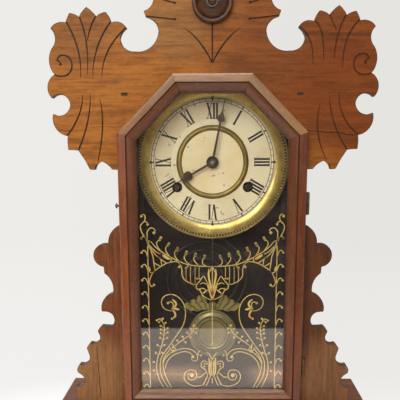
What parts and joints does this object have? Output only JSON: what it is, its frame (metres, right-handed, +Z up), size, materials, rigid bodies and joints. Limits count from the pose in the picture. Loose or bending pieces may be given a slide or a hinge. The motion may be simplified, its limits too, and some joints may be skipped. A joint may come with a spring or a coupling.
{
  "type": "gingerbread clock",
  "caption": "Pendulum shelf clock with a scroll-sawn wooden case, an octagon-topped glazed door, a round dial, a working movement layout and a coiled gong.",
  "frame": {"origin": "middle of the base's underside, on the surface that the clock stands on", "axes": "+X to the right as the viewer sees the dial, +Y from the dial to the back board, +Z up"},
  "size_m": [0.385, 0.134, 0.582],
  "materials": {
    "walnut": "waxed, satin",
    "dark_walnut": "waxed, satin",
    "brass": "aged",
    "dial_paper": "aged paper on a pressed metal pan, matt",
    "blued_steel": "blued",
    "steel": "dull",
    "iron": "dull",
    "glass": "polished, with painted gold ornament"
  },
  "bodies": {
    "case": {"crest_board": "walnut", "crest_rosette": "dark_walnut", "left_wing": "walnut", "right_wing": "dark_walnut", "left_side_board": "dark_walnut", "right_side_board": "dark_walnut", "case_top_board": "dark_walnut", "case_bottom_board": "dark_walnut", "back_board": "dark_walnut", "case_nails": "iron", "base_top_board": "walnut", "base_front_moulding": "dark_walnut", "base_left_moulding": "dark_walnut", "base_right_moulding": "dark_walnut", "base_back_rail": "dark_walnut", "dial_battens": "dark_walnut", "dial_pan": "dial_paper", "dial_bezel": "brass", "dial_centre_ring": "brass", "winding_grommets": "blued_steel", "dial_nails": "brass", "movement_front_plate": "brass", "movement_back_plate": "brass", "plate_pillars": "steel", "movement_screws": "steel", "mainsprings": "blued_steel", "gong_coil": "blued_steel", "gong_base": "iron", "suspension_post": "brass", "hinge_case_leaves": "brass", "hinge_pins": "brass", "case_hinge_screws": "brass", "latch_screw": "brass"},
    "door": {"door_left_stile": "walnut", "door_right_stile": "walnut", "door_bottom_rail": "walnut", "door_top_rail": "walnut", "door_left_diagonal": "walnut", "door_right_diagonal": "walnut", "door_glass": "glass", "glazing_strips": "dark_walnut", "hinge_door_leaves": "brass", "door_hinge_screws": "brass", "latch_pin": "brass"},
    "door_catch": {"latch_hook": "brass"},
    "minute_motion": {"centre_arbor": "steel", "minute_hand": "blued_steel", "hand_pin": "brass"},
    "motion_wheel": {"minute_wheel": "brass"},
    "hour_motion": {"hour_wheel": "brass", "hour_hand": "blued_steel"},
    "escape": {"escape_wheel": "brass"},
    "anchor": {"verge": "steel"},
    "pendulum": {"pendulum_rod": "steel", "pendulum_bob": "brass", "bob_ornament": "brass", "rating_nut": "brass"},
    "time_winding": {"time_main_wheel": "brass"},
    "strike_winding": {"strike_main_wheel": "brass"},
    "hammer": {"strike_hammer": "steel"}
  },
  "joints": [
    {"name": "door_hinge", "type": "hinge", "parent": "case", "child": "door", "pos_m": [0.1114, -0.03925, 0.205], "axis": [0, 0, 1], "range_deg": [0, 100]},
    {"name": "catch_turn", "type": "hinge", "parent": "case", "child": "door_catch", "pos_m": [-0.10945, -0.019, 0.304], "axis": [1, 0, 0], "range_deg": [0, 270]},
    {"name": "minute_turn", "type": "hinge", "parent": "case", "child": "minute_motion", "pos_m": [0, 0, 0.352], "axis": [0, 1, 0], "continuous": true},
    {"name": "motion_wheel_turn", "type": "hinge", "parent": "case", "child": "motion_wheel", "pos_m": [0.009, 0.0145, 0.33641], "axis": [0, 1, 0], "continuous": true},
    {"name": "hour_turn", "type": "hinge", "parent": "case", "child": "hour_motion", "pos_m": [0, 0, 0.352], "axis": [0, 1, 0], "continuous": true},
    {"name": "escape_turn", "type": "hinge", "parent": "case", "child": "escape", "pos_m": [0, 0.0137, 0.3822], "axis": [0, 1, 0], "continuous": true},
    {"name": "pendulum_swing", "type": "hinge", "parent": "case", "child": "pendulum", "pos_m": [0, 0.0085, 0.402], "axis": [0, 1, 0], "range_deg": [-3.5, 3.5]},
    {"name": "verge_rock", "type": "hinge", "parent": "case", "child": "anchor", "pos_m": [0, 0.014, 0.402], "axis": [0, 1, 0], "range_deg": [-3.5, 3.5]},
    {"name": "time_wind", "type": "hinge", "parent": "case", "child": "time_winding", "pos_m": [-0.0428, 0.02, 0.3225], "axis": [0, 1, 0], "continuous": true},
    {"name": "strike_wind", "type": "hinge", "parent": "case", "child": "strike_winding", "pos_m": [0.0428, 0.02, 0.3225], "axis": [0, 1, 0], "continuous": true},
    {"name": "hammer_lift", "type": "hinge", "parent": "case", "child": "hammer", "pos_m": [0.025, 0.044, 0.3], "axis": [0, -1, 0], "range_deg": [0, 12]}
  ],
  "couplings": [
    {"joint": "motion_wheel_turn", "follows": "minute_turn", "ratio": -0.33333},
    {"joint": "hour_turn", "follows": "minute_turn", "ratio": 0.083333},
    {"joint": "verge_rock", "follows": "pendulum_swing", "ratio": 1}
  ]
}
